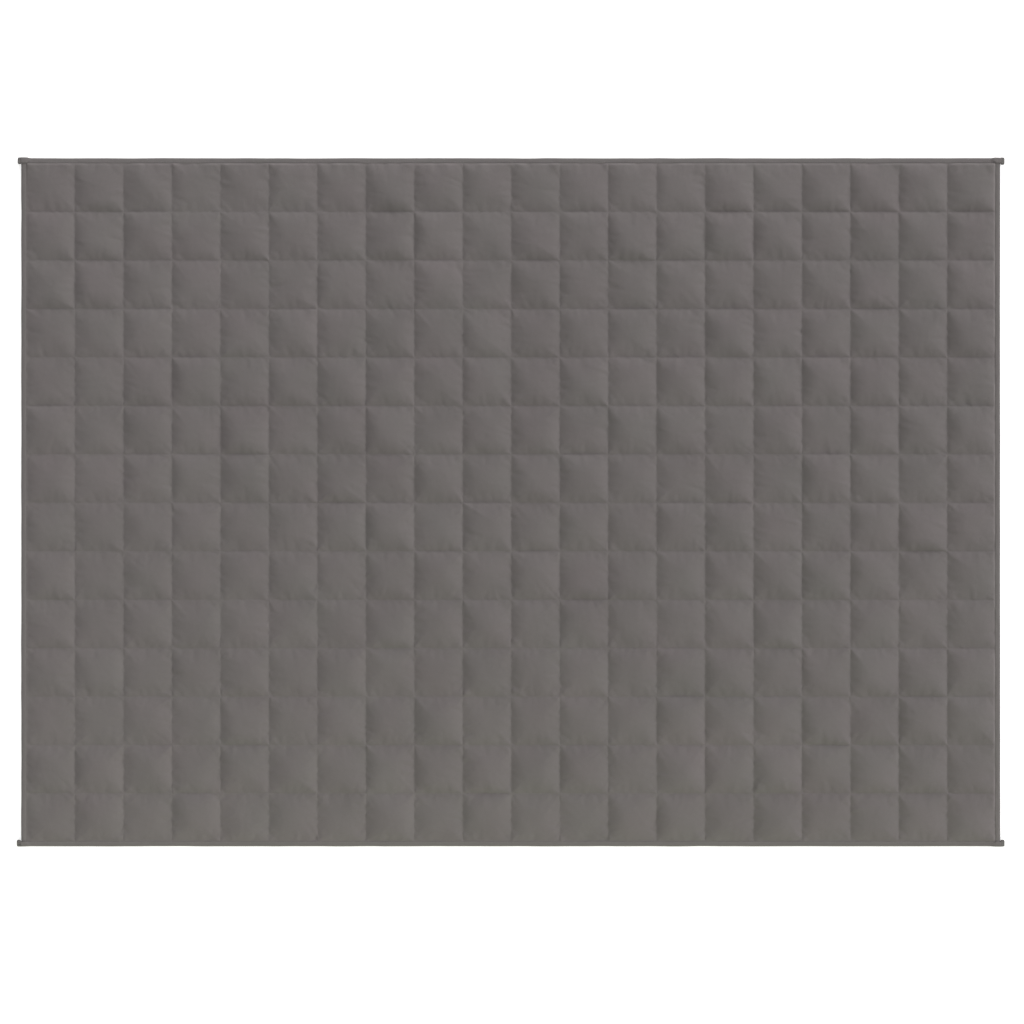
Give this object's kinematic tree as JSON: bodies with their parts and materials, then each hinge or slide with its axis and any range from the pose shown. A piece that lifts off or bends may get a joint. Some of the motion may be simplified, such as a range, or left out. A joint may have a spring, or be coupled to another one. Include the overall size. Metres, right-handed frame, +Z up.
{
  "type": "weighted blanket",
  "caption": "Weighted blanket spread out flat: a bead-filled panel quilted in squares, its edges bound with folded strips that end in short tabs.",
  "frame": {"origin": "on the floor, under the middle of the blanket's outline", "axes": "+X along the blanket's length, +Y across its width, +Z up out of the floor"},
  "size_m": [2.016, 1.406, 0.0118],
  "materials": {
    "cover_cloth": "plain-woven matt cotton, warm mid grey",
    "binding_cloth": "plain-woven matt cotton tape, warm mid grey"
  },
  "bodies": {
    "root": {"quilted_panel": "cover_cloth", "end_binding_left": "binding_cloth", "end_binding_right": "binding_cloth", "side_binding_front": "binding_cloth", "side_binding_back": "binding_cloth"}
  },
  "joints": []
}
